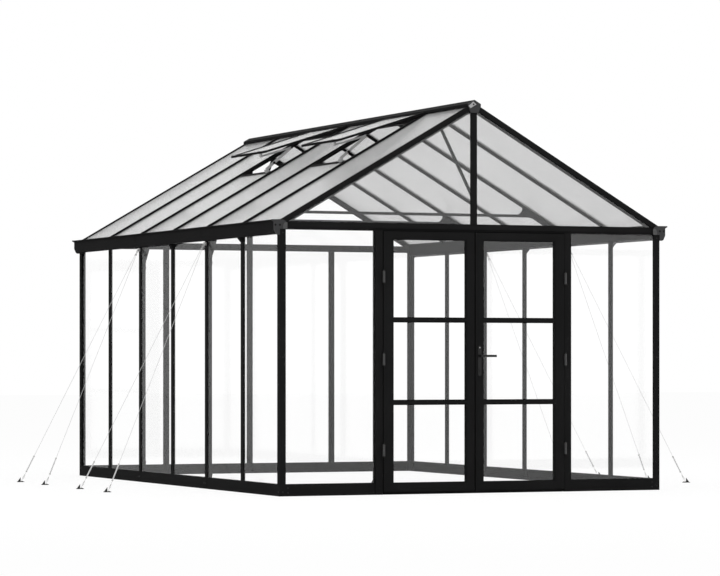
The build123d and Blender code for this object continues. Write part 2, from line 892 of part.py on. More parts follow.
def parts():
    """Every node and its solids."""
    nodes = {}
    nodes["base_rails_right"] = base_rails_right()
    nodes["base_rails_left"] = left(nodes["base_rails_right"])
    nodes["base_rails_front"] = base_rails_front()
    nodes["base_rail_back"] = base_rail_back()
    nodes["door_threshold"] = door_threshold()
    nodes["corner_posts"] = corner_posts()
    nodes["side_posts_right"] = side_posts_right()
    nodes["side_posts_left"] = left(nodes["side_posts_right"])
    nodes["back_posts"] = back_posts()
    columns = truss_columns_right()
    nodes["truss_columns"] = columns + left(columns)
    jamb = door_jamb()
    nodes["door_jambs"] = [jamb] + left([jamb])
    nodes["wall_panels_right"] = wall_panels_right()
    nodes["wall_panels_left"] = left(nodes["wall_panels_right"])
    nodes["wall_panels_back"] = wall_panels_back()
    nodes["wall_panels_front"] = wall_panels_front()
    nodes["eave_plate_right"] = eave_plate_right()
    nodes["eave_plate_left"] = left(nodes["eave_plate_right"])
    nodes["eave_beam_front"] = [eave_beam(True)]
    nodes["eave_beam_back"] = back([eave_beam(False)])
    nodes["gutter_right"] = gutters_right()
    nodes["gutter_left"] = left(nodes["gutter_right"])
    nodes["gutter_end_caps"] = gutter_end_caps()
    nodes["gutter_brackets"] = gutter_brackets()
    rafter = gable_rafter()
    nodes["gable_rafters_front"] = [rafter] + left([rafter])
    nodes["gable_rafters_back"] = back(nodes["gable_rafters_front"])
    post = gable_post()
    nodes["gable_posts"] = [post] + back([post])
    nodes["gable_panels_front"] = gable_panels_front()
    nodes["gable_panels_back"] = back(nodes["gable_panels_front"])
    nodes["rafters_right"] = rafters_right()
    nodes["rafters_left"] = left(nodes["rafters_right"])
    nodes["roof_panels_right"] = roof_panels(False)
    nodes["roof_panels_left"] = left(roof_panels(True))
    nodes["ridge_beam"] = [ridge_beam()]
    cap = ridge_end_cap()
    nodes["ridge_end_caps"] = [cap] + back([cap])
    nodes["truss_ties"] = truss_tie()
    haunches = truss_haunches_right()
    nodes["truss_haunches"] = haunches + left(haunches)
    brace = ridge_brace()
    nodes["ridge_braces"] = [brace] + back([brace])
    windows = [vent_window(number) for number in vent_bays]
    nodes["vent_sills"] = left([vent_sill_bar(number) for number in vent_bays])
    nodes["vent_frames"] = left([frame for frame, sheet in windows])
    nodes["vent_panels"] = left([sheet for frame, sheet in windows])
    nodes["vent_openers"] = left([vent_opener(number) for number in vent_bays])
    frame, glass = door_leaf()
    nodes["door_leaf_left"] = left([frame])
    nodes["door_leaf_right"] = [frame - spindle_bore()]
    nodes["door_panes_right"] = glass
    nodes["door_panes_left"] = left(glass)
    hinges = [hinge(height) for height in hinge_heights]
    nodes["hinge_leaves_right"] = [moving for moving, fixed in hinges]
    nodes["hinge_leaves_left"] = left(nodes["hinge_leaves_right"])
    pins = [fixed for moving, fixed in hinges]
    nodes["hinge_pins"] = pins + left(pins)
    nodes["door_cover_strip"] = [cover_strip()]
    plate = handle_plate()
    nodes["handle_plates"] = [plate, across_leaf(plate)]
    nodes["door_lever"] = [lever()]
    lugs = [cable_lug(line) for line in truss_lines]
    nodes["cable_lugs"] = lugs + left(lugs)
    places = [(line, side) for line in truss_lines for side in (-1, 1)]
    nodes["guy_cables_right"] = [guy_cable(line, side) for line, side in places]
    nodes["guy_cables_left"] = left(nodes["guy_cables_right"])
    anchors = [anchor(line + side * anchor_spread) for line, side in places]
    nodes["ground_anchors"] = anchors + left(anchors)
    return nodes


def solids_of(shapes):
    """The plain solids in a list of shapes."""
    return [solid for shape in shapes for solid in shape.solids()]


os.makedirs("parts", exist_ok=True)
for name, shapes in parts().items():
    export_step(Compound(solids_of(shapes)), f"parts/{name}.step")
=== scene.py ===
import json
import math

import bmesh
import bpy
from mathutils import Matrix, Vector


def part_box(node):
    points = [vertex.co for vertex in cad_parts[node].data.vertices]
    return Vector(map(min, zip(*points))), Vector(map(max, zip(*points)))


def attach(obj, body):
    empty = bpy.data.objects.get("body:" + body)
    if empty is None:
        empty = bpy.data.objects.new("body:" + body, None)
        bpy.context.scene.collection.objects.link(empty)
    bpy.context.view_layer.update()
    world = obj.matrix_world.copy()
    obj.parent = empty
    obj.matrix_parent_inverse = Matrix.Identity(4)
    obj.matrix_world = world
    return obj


bl_info = {
    "name": "Glass greenhouse",
    "version": (1, 0, 0),
    "blender": (4, 5, 0),
    "location": "3D View > Sidebar > Greenhouse",
    "description": "Finishes, fittings and studio of a glass greenhouse",
    "category": "Object",
}

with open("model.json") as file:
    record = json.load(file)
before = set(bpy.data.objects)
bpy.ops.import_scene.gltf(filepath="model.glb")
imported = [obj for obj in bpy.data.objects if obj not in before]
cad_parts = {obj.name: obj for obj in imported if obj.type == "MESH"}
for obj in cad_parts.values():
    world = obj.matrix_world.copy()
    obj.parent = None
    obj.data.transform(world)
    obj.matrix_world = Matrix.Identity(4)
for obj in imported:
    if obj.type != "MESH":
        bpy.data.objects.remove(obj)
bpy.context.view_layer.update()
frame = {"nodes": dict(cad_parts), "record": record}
MM = 0.001

# Camera, in metres, degrees and millimetres of sensor
CAMERA_PLACE = (-9.998, -23.735, 0.971)
CAMERA_HEADING = 22.97
SENSOR = 36.0

ROOT = "greenhouse"
SIDES = (1, -1)
TO_FRONT = (0, -1, 0)


# Measures of the CAD nodes, and of what sits on them

def low(node):
    """Lowest corner of a CAD node."""
    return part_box(node)[0]


def high(node):
    """Highest corner of a CAD node."""
    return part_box(node)[1]


HALF_X = high("base_rails_right").x
HALF_Y = high("base_rail_back").y
BASE_TOP = high("base_rails_right").z
EAVE = high("eave_beam_front").z
BEAM_BOTTOM = high("back_posts").z
PLATE_BOTTOM = low("eave_plate_right").z
GUTTER_BOTTOM = low("gutter_right").z
RIDGE_TOP = high("ridge_beam").z
RIDGE_BOTTOM = low("ridge_beam").z
BAY = 0.75
BAYS_ALONG = 6
BAYS_ACROSS = 4
PITCH = math.radians(30)
SLOPE = math.tan(PITCH)
ROOF_PEAK = EAVE + HALF_X * SLOPE
SIDE_LINES = [BAY * (i - BAYS_ALONG / 2) for i in range(1, BAYS_ALONG)]
BACK_LINES = [BAY * (i - BAYS_ACROSS / 2) for i in range(1, BAYS_ACROSS)]
TRUSS_LINES = (SIDE_LINES[1], SIDE_LINES[-2])
WALL_FACE = high("side_posts_right").x
SHEET_IN = high("wall_panels_right").x - 3 * MM
POST_FOOT = BASE_TOP + 2 * MM
POST_HEAD = PLATE_BOTTOM - 2 * MM
DOOR_BACK = high("door_leaf_right").y
DOOR_FRONT = DOOR_BACK - 38 * MM
DOOR_TOP = high("door_leaf_right").z
DOOR_BOTTOM = low("door_leaf_right").z
DOOR_EDGE = high("door_leaf_right").x
JAMB_IN_EDGE = high("door_threshold").x
JAMB_OUT = high("door_jambs").x
JAMB_STOP = DOOR_BACK + 5 * MM
CAP_FRONT = low("gutter_end_caps").y
CORNER = 47 * MM
COLUMN_IN = HALF_X - CORNER
BAR_FOOT = 20 * MM
RIB_WIDTH = 18 * MM
COVER_RISE = 0.8 * MM
THIN_PLATE = 1.5 * MM
ROOF_SEAT = 7.3 * MM
RIDGE_FOOT = 0.040
CAP_TOP = 0.052
CAP_TOP_AT_VENT = 0.125
BRACE_FOOT = RIDGE_BOTTOM - 0.632
VENT_BAYS = (1, 3)
VENT_OPEN = math.radians(12.4)
VENT_LENGTH = 0.725
VENT_HALF = 0.370
VENT_HINGE_X = 50 * MM
SILL_X = 0.660
SILL_HALF = 0.330
ARM_SHIFT = 0.245
ARM_APEX = 0.468
HINGE_HEIGHTS = (0.316, 0.964, 1.554)
HINGE_X = 0.722
KNUCKLE = 0.041
PANES = 3
DOOR_BAR = 32 * MM
HANDLE_X = 34.5 * MM
KEY_HEIGHT = 0.890
ANCHOR_SPREAD = 0.318


def roof_z(x, depth=0.0):
    """Height of the roof line at x, less a depth square to the slope."""
    return ROOF_PEAK - abs(x) * SLOPE - depth / math.cos(PITCH)


def vent_middle(number):
    """Middle along the ridge of the bay that a vent opens."""
    return BAY * (number + 0.5 - BAYS_ALONG / 2)


def door_faces(gap):
    """Both ways out of a leaf, each with the Y of a plane that far off its face."""
    return ((-1, DOOR_FRONT - gap), (1, DOOR_BACK + gap))


def mm(*pairs):
    """Pairs in millimetres as pairs in metres."""
    return [(first * MM, second * MM) for first, second in pairs]


# Sizes and colours that a user may change

class FinishSettings(bpy.types.PropertyGroup):
    coat: bpy.props.FloatVectorProperty(
        name="Frame coat", description="Colour of the powder coat on the bars",
        subtype="COLOR", size=3, min=0.0, max=1.0, default=(0.0140, 0.0140, 0.0142))
    coat_shift: bpy.props.FloatVectorProperty(
        name="Coat variation", description="Second colour that the powder coat drifts to",
        subtype="COLOR", size=3, min=0.0, max=1.0, default=(0.0175, 0.0175, 0.0178))
    caps: bpy.props.FloatVectorProperty(
        name="End caps", description="Colour of the moulded end caps",
        subtype="COLOR", size=3, min=0.0, max=1.0, default=(0.030, 0.030, 0.031))
    sheet: bpy.props.FloatVectorProperty(
        name="Clear sheet", description="Tint of the clear wall sheets",
        subtype="COLOR", size=3, min=0.0, max=1.0, default=(0.985, 0.99, 0.99))
    sheet_veil: bpy.props.FloatProperty(
        name="Sheet veil", description="How much one face of a clear sheet hides, seen square on",
        subtype="FACTOR", min=0.0, max=1.0, default=0.036)
    roof: bpy.props.FloatVectorProperty(
        name="Roof sheet", description="Colour of the milky roof sheets",
        subtype="COLOR", size=3, min=0.0, max=1.0, default=(0.635, 0.635, 0.635))
    roof_through: bpy.props.FloatProperty(
        name="Roof light", description="Share of the light that passes through a roof sheet",
        subtype="FACTOR", min=0.0, max=1.0, default=0.72)
    arm: bpy.props.FloatVectorProperty(
        name="Vent arms", description="Colour of the opener arms of the roof vents",
        subtype="COLOR", size=3, min=0.0, max=1.0, default=(0.42, 0.42, 0.42))
    hinge: bpy.props.FloatVectorProperty(
        name="Hinges", description="Colour of the door hinges",
        subtype="COLOR", size=3, min=0.0, max=1.0, default=(0.042, 0.042, 0.042))
    wire: bpy.props.FloatVectorProperty(
        name="Guy wire", description="Colour of the guy cables",
        subtype="COLOR", size=3, min=0.0, max=1.0, default=(0.78, 0.78, 0.78))


class FittingSettings(bpy.types.PropertyGroup):
    screw_radius: bpy.props.FloatProperty(
        name="Screw head", description="Radius of a screw head",
        subtype="DISTANCE", min=0.001, max=0.01, default=0.0045)
    bolt_radius: bpy.props.FloatProperty(
        name="Bolt head", description="Radius of a truss bolt head across its corners",
        subtype="DISTANCE", min=0.002, max=0.02, default=0.0075)
    seal_width: bpy.props.FloatProperty(
        name="Seal width", description="Width of the rubber seal beside a bar",
        subtype="DISTANCE", min=0.001, max=0.02, default=0.003)
    seal_rise: bpy.props.FloatProperty(
        name="Seal rise", description="How far a rubber seal stands off its sheet",
        subtype="DISTANCE", min=0.0005, max=0.005, default=0.0018)
    cap_rise: bpy.props.FloatProperty(
        name="Roof cap rise", description="Height of the raised cap on each roof bar",
        subtype="DISTANCE", min=0.004, max=0.03, default=0.010)
    plate_thick: bpy.props.FloatProperty(
        name="Joint plate", description="Thickness of the truss joint plates",
        subtype="DISTANCE", min=0.001, max=0.01, default=0.002)


class StageSettings(bpy.types.PropertyGroup):
    lens: bpy.props.FloatProperty(
        name="Lens", description="Focal length of the camera",
        subtype="DISTANCE_CAMERA", min=20.0, max=400.0, default=164.03)
    shift: bpy.props.FloatProperty(
        name="Shift", description="Upward shift of the camera's frame",
        min=-1.0, max=1.0, default=0.098)
    floor: bpy.props.FloatVectorProperty(
        name="Floor", description="Colour of the studio floor",
        subtype="COLOR", size=3, min=0.0, max=1.0, default=(0.80, 0.80, 0.80))
    floor_glow: bpy.props.FloatProperty(
        name="Floor glow", description="How much of the floor's white comes from its own glow",
        subtype="FACTOR", min=0.0, max=1.0, default=0.8)
    sky: bpy.props.FloatProperty(
        name="Sky", description="Strength of the even light all round",
        min=0.0, max=5.0, default=0.72)
    key: bpy.props.FloatProperty(
        name="Key lamp", description="Power of the large lamp overhead",
        unit="POWER", min=0.0, max=20000.0, default=240.0)


def settings(group):
    """One of the scene's groups of settings."""
    return getattr(bpy.context.scene, group)


# Shader maths

class Field:
    """A node socket that takes part in arithmetic."""

    def __init__(self, tree, socket):
        self.tree = tree
        self.socket = socket

    def maths(self, operation, first, second):
        """The result of a Math node on two values or sockets."""
        made = self.tree.nodes.new("ShaderNodeMath")
        made.operation = operation
        for socket, value in zip(made.inputs, (first, second)):
            feed(self.tree, socket, value)
        return Field(self.tree, made.outputs[0])

    def __add__(self, other):
        return self.maths("ADD", self, other)

    def __radd__(self, other):
        return self.maths("ADD", other, self)

    def __mul__(self, other):
        return self.maths("MULTIPLY", self, other)

    def __rmul__(self, other):
        return self.maths("MULTIPLY", other, self)

    def __pow__(self, other):
        return self.maths("POWER", self, other)

    def __rpow__(self, other):
        return self.maths("POWER", other, self)


def feed(tree, socket, value):
    """Links a field to a socket, or sets the socket to a plain value."""
    if isinstance(value, Field):
        tree.links.new(value.socket, socket)
    elif isinstance(value, (tuple, list)) and socket.type == "RGBA" and len(value) == 3:
        socket.default_value = (*value, 1.0)
    else:
        socket.default_value = value


class Recipe:
    """The node tree of one material or of the world while it is written."""

    def __init__(self, owner):
        owner.use_nodes = True
        self.tree = owner.node_tree
        self.tree.nodes.clear()

    def node(self, kind, options, inputs, output=0):
        """Adds a node, first its options and then its sockets, and gives one output."""
        made = self.tree.nodes.new(kind)
        for name, value in options.items():
            if name == "stops":
                for element, (place, shade) in zip(made.color_ramp.elements, value):
                    element.position = place
                    element.color = (shade, shade, shade, 1.0)
            else:
                setattr(made, name, value)
        for key, value in inputs.items():
            feed(self.tree, made.inputs[key], value)
        return Field(self.tree, made.outputs[output]) if len(made.outputs) else None

    def place(self):
        """Position on the piece, in metres."""
        return self.node("ShaderNodeTexCoord", {}, {}, "Object")

    def noise(self, where, scale, detail=2.0):
        """Soft cloudy noise from 0 to 1."""
        return self.node("ShaderNodeTexNoise", {},
                         {"Vector": where, "Scale": scale, "Detail": detail})

    def ramp(self, value, *stops):
        """A value spread between two grey stops."""
        return self.node("ShaderNodeValToRGB", {"stops": stops}, {"Fac": value})

    def blend(self, factor, first, second):
        """A colour between two colours."""
        return self.node("ShaderNodeMix", {"data_type": "RGBA"},
                         {0: factor, 6: first, 7: second}, 2)

    def stretched(self, where, scale):
        """A position scaled along each axis."""
        return self.node("ShaderNodeMapping", {}, {"Vector": where, "Scale": scale})

    def bump(self, height, strength, distance):
        """Normals bent by a height."""
        return self.node("ShaderNodeBump", {},
                         {"Height": height, "Strength": strength, "Distance": distance})

    def surface(self, **inputs):
        """A Principled surface joined to the output."""
        named = {key.replace("_", " "): value for key, value in inputs.items()}
        shader = self.node("ShaderNodeBsdfPrincipled", {}, named)
        self.node("ShaderNodeOutputMaterial", {}, {"Surface": shader})


def material(name):
    """A new material and its recipe."""
    made = bpy.data.materials.new(name)
    return made, Recipe(made)


def powder_coat(name, colour, shift, roughness=0.45, level=0.0015):
    """Fine textured powder coat, with a slow drift in its colour and sheen."""
    made, recipe = material(name)
    where = recipe.place()
    drift = recipe.noise(where, 2.2, 3.0)
    speckle = recipe.noise(where, 420.0, 1.0)
    peel = recipe.noise(where, 260.0, 2.0)
    tone = recipe.ramp(drift * 0.7 + speckle * 0.3, (0.35, 0.0), (0.65, 1.0))
    recipe.surface(
        Base_Color=recipe.blend(tone, colour, shift),
        Roughness=roughness - 0.06 + 0.12 * drift,
        Specular_IOR_Level=level,
        Normal=recipe.bump(peel, 0.12, 0.0003),
    )
    return made


def moulded(name, colour, roughness=0.5):
    """Lightly grained moulded plastic."""
    made, recipe = material(name)
    where = recipe.place()
    grain = recipe.noise(where, 600.0, 2.0)
    cloud = recipe.noise(where, 9.0, 2.0)
    lighter = tuple(value * 1.35 for value in colour)
    recipe.surface(
        Base_Color=recipe.blend(cloud, colour, lighter),
        Roughness=roughness + 0.08 * grain,
        Specular_IOR_Level=0.3,
        Normal=recipe.bump(grain, 0.2, 0.0003),
    )
    return made


def clear_sheet(name, colour, veil):
    """Clear sheet: nearly all light passes, and more is mirrored at a slant."""
    made, recipe = material(name)
    where = recipe.place()
    haze = recipe.noise(where, 0.8, 2.0)
    wave = recipe.noise(recipe.stretched(where, (1.0, 1.0, 0.25)), 1.6, 1.0)
    slant = recipe.node("ShaderNodeLayerWeight", {}, {"Blend": 0.5}, "Facing")
    face_on = veil * (0.8 + 0.4 * haze)
    glancing = 0.35 * slant ** 8
    recipe.surface(
        Base_Color=colour,
        Metallic=1.0,
        Roughness=0.05,
        Alpha=face_on + glancing,
        Normal=recipe.bump(wave, 0.015, 0.002),
    )
    return made


def roof_sheet(name, colour, through, flute):
    """Milky twin-wall sheet, with its ribs running down the slope."""
    made, recipe = material(name)
    where = recipe.place()
    ribs = recipe.node("ShaderNodeTexWave", {"bands_direction": "Y", "wave_profile": "SIN"},
                       {"Vector": where, "Scale": flute, "Distortion": 0.0})
    cloud = recipe.noise(recipe.stretched(where, (0.5, 2.5, 0.5)), 1.4, 3.0)
    darker = tuple(value * 0.93 for value in colour)
    recipe.surface(
        Base_Color=recipe.blend(0.6 * cloud + 0.35 * ribs, colour, darker),
        Roughness=0.16 + 0.05 * ribs,
        Specular_IOR_Level=0.05,
        IOR=1.08,
        Transmission_Weight=through,
        Normal=recipe.bump(ribs, 0.15, 0.0006),
    )
    return made


def bare_metal(name, colour, roughness=0.35):
    """Zinc-plated or stainless steel with fine brushing."""
    made, recipe = material(name)
    where = recipe.place()
    brush = recipe.noise(recipe.stretched(where, (1.0, 1.0, 12.0)), 300.0, 2.0)
    cloud = recipe.noise(where, 30.0, 2.0)
    darker = tuple(value * 0.8 for value in colour)
    recipe.surface(
        Base_Color=recipe.blend(cloud, colour, darker),
        Metallic=0.85,
        Roughness=roughness + 0.15 * brush,
        Normal=recipe.bump(brush, 0.1, 0.0002),
    )
    return made


def glossy_coat(name, colour):
    """Smooth painted casting with a glossy top coat."""
    made, recipe = material(name)
    where = recipe.place()
    peel = recipe.noise(where, 180.0, 1.0)
    lighter = tuple(value * 1.6 for value in colour)
    recipe.surface(
        Base_Color=recipe.blend(recipe.noise(where, 25.0), colour, lighter),
        Roughness=0.18 + 0.1 * peel,
        Specular_IOR_Level=0.25,
        Normal=recipe.bump(peel, 0.08, 0.0003),
    )
    return made


def rubber(name):
    """Matt black seal rubber."""
    made, recipe = material(name)
    where = recipe.place()
    dust = recipe.noise(where, 40.0, 3.0)
    recipe.surface(
        Base_Color=recipe.blend(dust, (0.004, 0.004, 0.004), (0.010, 0.010, 0.010)),
        Roughness=0.62 + 0.15 * dust,
        Specular_IOR_Level=0.15,
        Normal=recipe.bump(dust, 0.2, 0.0004),
    )
    return made


def stranded(name, colour):
    """Twisted steel wire: slanted bands for its strands."""
    made, recipe = material(name)
    where = recipe.place()
    bands = recipe.node("ShaderNodeTexWave", {"bands_direction": "DIAGONAL"},
                        {"Vector": where, "Scale": 160.0})
    darker = tuple(value * 0.75 for value in colour)
    recipe.surface(
        Base_Color=recipe.blend(bands, colour, darker),
        Metallic=0.2,
        Roughness=0.4 + 0.1 * bands,
        Normal=recipe.bump(bands, 0.4, 0.0005),
    )
    return made


FINISH = {}
NODE_FINISH = {"vent_openers": "arm", "cable_lugs": "zinc"}
FINISH_OF_SLOT = {
    "painted_frame": "coat", "door_frame": "door_coat", "dark_caps": "cap", "clear_sheet": "sheet",
    "roof_sheet": "roof", "grey_fittings": "hinge", "handle": "gloss", "cable": "wire",
    "anchor": "anchor",
}


def mix_finishes():
    """Makes every finish from the settings."""
    use = settings("greenhouse_finish")
    coat, shift = tuple(use.coat), tuple(use.coat_shift)
    FINISH["coat"] = powder_coat("powder_coat", coat, shift)
    FINISH["door_coat"] = powder_coat("door_powder_coat", coat, shift, roughness=0.42)
    FINISH["cap"] = moulded("cap_plastic", tuple(use.caps))
    FINISH["sheet"] = clear_sheet("clear_wall_sheet", tuple(use.sheet), use.sheet_veil)
    FINISH["roof"] = roof_sheet("milky_roof_sheet", tuple(use.roof), use.roof_through, flute=30.0)
    FINISH["arm"] = moulded("vent_arm_nylon", tuple(use.arm), roughness=0.4)
    FINISH["hinge"] = powder_coat("hinge_coat", tuple(use.hinge), tuple(use.hinge),
                                  roughness=0.35, level=0.4)
    FINISH["gloss"] = glossy_coat("handle_coat", (0.008, 0.008, 0.008))
    FINISH["wire"] = stranded("guy_wire", tuple(use.wire))
    FINISH["anchor"] = moulded("anchor_plastic", (0.035, 0.035, 0.035), roughness=0.6)
    FINISH["zinc"] = bare_metal("zinc_plate", (0.55, 0.55, 0.54))
    FINISH["zinc_dark"] = powder_coat("dark_screw", (0.02, 0.02, 0.02), (0.03, 0.03, 0.03),
                                      roughness=0.4, level=0.1)
    FINISH["beam_end"] = moulded("beam_end_plastic", (0.075, 0.075, 0.075))
    FINISH["seal"] = rubber("seal_rubber")


# Mesh helpers

def add_prism(bm, outline, run):
    """A closed outline of 3D points, pushed along a vector."""
    run = Vector(run)
    first = [bm.verts.new(Vector(point)) for point in outline]
    last = [bm.verts.new(vert.co + run) for vert in first]
    bm.faces.new(first)
    bm.faces.new(list(reversed(last)))
    for i in range(len(first)):
        j = (i + 1) % len(first)
        bm.faces.new((first[j], first[i], last[i], last[j]))


def rounded(width, height, radius, steps=3):
    """Outline of a rectangle with round corners, about its middle."""
    points = []
    for corner, (sx, sy) in enumerate(((1, 1), (-1, 1), (-1, -1), (1, -1))):
        for step in range(steps + 1):
            angle = math.radians(90 * (corner + step / steps))
            points.append((sx * (width / 2 - radius) + radius * math.cos(angle),
                           sy * (height / 2 - radius) + radius * math.sin(angle)))
    return points


def basis(axis, up=(0, 0, 1)):
    """A matrix whose Z is the axis and whose Y leans to up."""
    z = Vector(axis).normalized()
    x = Vector(up).cross(z)
    if x.length < 1e-6:
        x = Vector((1, 0, 0))
    x.normalize()
    y = z.cross(x)
    return Matrix((x, y, z)).transposed().to_4x4()


def add_plate(bm, centre, axis, width, height, thick, radius, up=(0, 0, 1)):
    """A plate with round corners, its back face at centre and its thickness along axis."""
    turn = Matrix.Translation(Vector(centre)) @ basis(axis, up)
    outline = [turn @ Vector((x, y, 0)) for x, y in rounded(width, height, radius)]
    add_prism(bm, outline, Vector(axis).normalized() * thick)


def add_turned(bm, centre, axis, profile, sides=12, flat=False):
    """A turned form: (radius, height) pairs spun about an axis."""
    turn = Matrix.Translation(Vector(centre)) @ basis(axis)
    rings = []
    for radius, height in profile:
        if radius == 0:
            rings.append([bm.verts.new(turn @ Vector((0, 0, height)))])
            continue
        ring = []
        for i in range(sides):
            angle = 2 * math.pi * i / sides
            ring.append(bm.verts.new(
                turn @ Vector((radius * math.cos(angle), radius * math.sin(angle), height))))
        rings.append(ring)
    for lower, upper in zip(rings, rings[1:]):
        for i in range(sides):
            j = (i + 1) % sides
            quad = [lower[i % len(lower)], lower[j % len(lower)],
                    upper[j % len(upper)], upper[i % len(upper)]]
            made = bm.faces.new(list(dict.fromkeys(quad)))
            made.smooth = not flat
    for ring, order in ((rings[0], -1), (rings[-1], 1)):
        if len(ring) > 2:
            bm.faces.new(ring[::order])


def add_screw(bm, centre, axis, radius):
    """Pan-head screw with a washer rim and a sunk drive."""
    add_turned(bm, centre, axis, [
        (radius * 1.35, 0), (radius * 1.35, radius * 0.22), (radius, radius * 0.26),
        (radius * 0.93, radius * 0.55), (radius * 0.6, radius * 0.8),
        (radius * 0.38, radius * 0.84), (radius * 0.34, radius * 0.4), (0, radius * 0.34),
    ])


def add_bolt(bm, centre, axis, radius):
    """Hexagon bolt head on a round washer."""
    add_turned(bm, centre, axis, [(radius * 1.4, 0), (radius * 1.4, radius * 0.2)], 16)
    add_turned(bm, Vector(centre) + Vector(axis).normalized() * radius * 0.2, axis, [
        (radius, 0), (radius, radius * 0.6), (radius * 0.82, radius * 0.75), (0, radius * 0.78),
    ], 6, True)


def add_tube(bm, points, radius, sides=8):
    """A tube of even radius along a line of points."""
    points = [Vector(point) for point in points]
    angles = [2 * math.pi * k / sides for k in range(sides)]
    rings = []
    for i, point in enumerate(points):
        ahead = points[min(i + 1, len(points) - 1)] - points[max(i - 1, 0)]
        turn = basis(ahead).to_3x3()
        rings.append([
            bm.verts.new(point + turn @ Vector((radius * math.cos(a), radius * math.sin(a), 0)))
            for a in angles])
    for lower, upper in zip(rings, rings[1:]):
        for k in range(sides):
            j = (k + 1) % sides
            bm.faces.new((lower[k], lower[j], upper[j], upper[k])).smooth = True
    bm.faces.new(rings[0][::-1])
    bm.faces.new(rings[-1])


def add_strip(bm, start, end, out, width, rise):
    """A half-round strip from start to end, standing off a face along out."""
    start, end, out = Vector(start), Vector(end), Vector(out).normalized()
    side = (end - start).cross(out).normalized()
    steps = 6
    angles = [math.pi * i / steps for i in range(steps + 1)]
    outline = [start + side * (width / 2 * math.cos(a)) + out * (rise * math.sin(a))
               for a in angles]
    add_prism(bm, outline, end - start)


def add_seal(bm, start, end, out):
    """A rubber seal of the user's size from start to end, standing off a face along out."""
    use = settings("greenhouse_fittings")
    add_strip(bm, start, end, out, use.seal_width, use.seal_rise)


def piece(name, bm, finish, body=ROOT):
    """Turns a bmesh into a finished piece that rides on a body."""
    bmesh.ops.recalc_face_normals(bm, faces=bm.faces)
    mesh = bpy.data.meshes.new(name)
    bm.to_mesh(mesh)
    bm.free()
    made = bpy.data.objects.new(name, mesh)
    bpy.context.scene.collection.objects.link(made)
    made.data.materials.append(FINISH[finish])
    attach(made, body)
    return made


# Operators

class GREENHOUSE_OT_finishes(bpy.types.Operator):
    """Give every CAD node its procedural finish"""
    bl_idname = "greenhouse.finishes"
    bl_label = "Finishes"

    def execute(self, context):
        mix_finishes()
        for row in frame["record"]["subparts"]:
            node = row["node"]
            finish = NODE_FINISH.get(node, FINISH_OF_SLOT[row["material_slot"]])
            target = frame["nodes"][node]
            if target.material_slots:
                for holder in target.material_slots:
                    holder.material = FINISH[finish]
            else:
                target.data.materials.append(FINISH[finish])
        return {"FINISHED"}


class GREENHOUSE_OT_wall_seals(bpy.types.Operator):
    """Run rubber seals along the bars and vent sills, and cover the inner ribs of the posts"""
    bl_idname = "greenhouse.wall_seals"
    bl_label = "Seals"

    def execute(self, context):
        width = settings("greenhouse_fittings").seal_width
        off = BAR_FOOT + width / 2
        self.wall_seals(off, width)
        self.post_covers()
        self.roof_seals(off)
        return {"FINISHED"}

    def wall_seals(self, off, width):
        """Seals on the wall sheets, beside each post and along the front rails and beam; the black
        seal just under the front beam also serves as a painted shadow line beneath the beam.
        """
        bm = bmesh.new()
        back, front = low("wall_panels_back").y, low("wall_panels_front").y
        for way in SIDES:
            for side in SIDES:
                x = side * SHEET_IN
                for line in SIDE_LINES:
                    y = line + way * off
                    add_seal(bm, (x, y, POST_FOOT), (x, y, POST_HEAD), (-side, 0, 0))
            for line in BACK_LINES:
                x = line + way * off
                add_seal(bm, (x, back, POST_FOOT), (x, back, POST_HEAD), TO_FRONT)
        for side in SIDES:
            x0, x1 = side * (JAMB_OUT + 1 * MM), side * (HALF_X - CORNER)
            # The upper front seal, just under the beam, is both a glazing seal and a painted shadow
            # line under the beam; the lower one sits on the base rail.
            for z in (BEAM_BOTTOM - width, BASE_TOP + width / 2):
                add_seal(bm, (x0, front, z), (x1, front, z), TO_FRONT)
        piece("wall_seals", bm, "seal")

    def post_covers(self):
        """Low covers over the slots in the inner ribs of the posts."""
        bm = bmesh.new()
        side_face, back_face = low("side_posts_right").x, low("back_posts").y
        spots = [(side * side_face, line, (-side, 0, 0)) for side in SIDES for line in SIDE_LINES]
        spots += [(line, back_face, TO_FRONT) for line in BACK_LINES]
        for x, y, out in spots:
            add_strip(bm, (x, y, POST_FOOT), (x, y, POST_HEAD), out, RIB_WIDTH, COVER_RISE)
        piece("post_covers", bm, "coat")

    def roof_seals(self, off):
        """Seals under the roof sheets, and one on the lower sill of each vent."""
        bm = bmesh.new()
        for side in SIDES:
            out = (-side * math.sin(PITCH), 0, -math.cos(PITCH))
            for line in SIDE_LINES:
                for way in SIDES:
                    y = line + way * off
                    ends = [(side * x, y, roof_z(x, ROOF_SEAT))
                            for x in (RIDGE_FOOT, HALF_X - CORNER)]
                    add_seal(bm, *ends, out)
        for number in VENT_BAYS:
            y, z = vent_middle(number), roof_z(SILL_X)
            ends = [(-SILL_X, y + way * SILL_HALF, z) for way in SIDES]
            add_seal(bm, *ends, (-math.sin(PITCH), 0, math.cos(PITCH)))
        piece("roof_seals", bm, "seal")


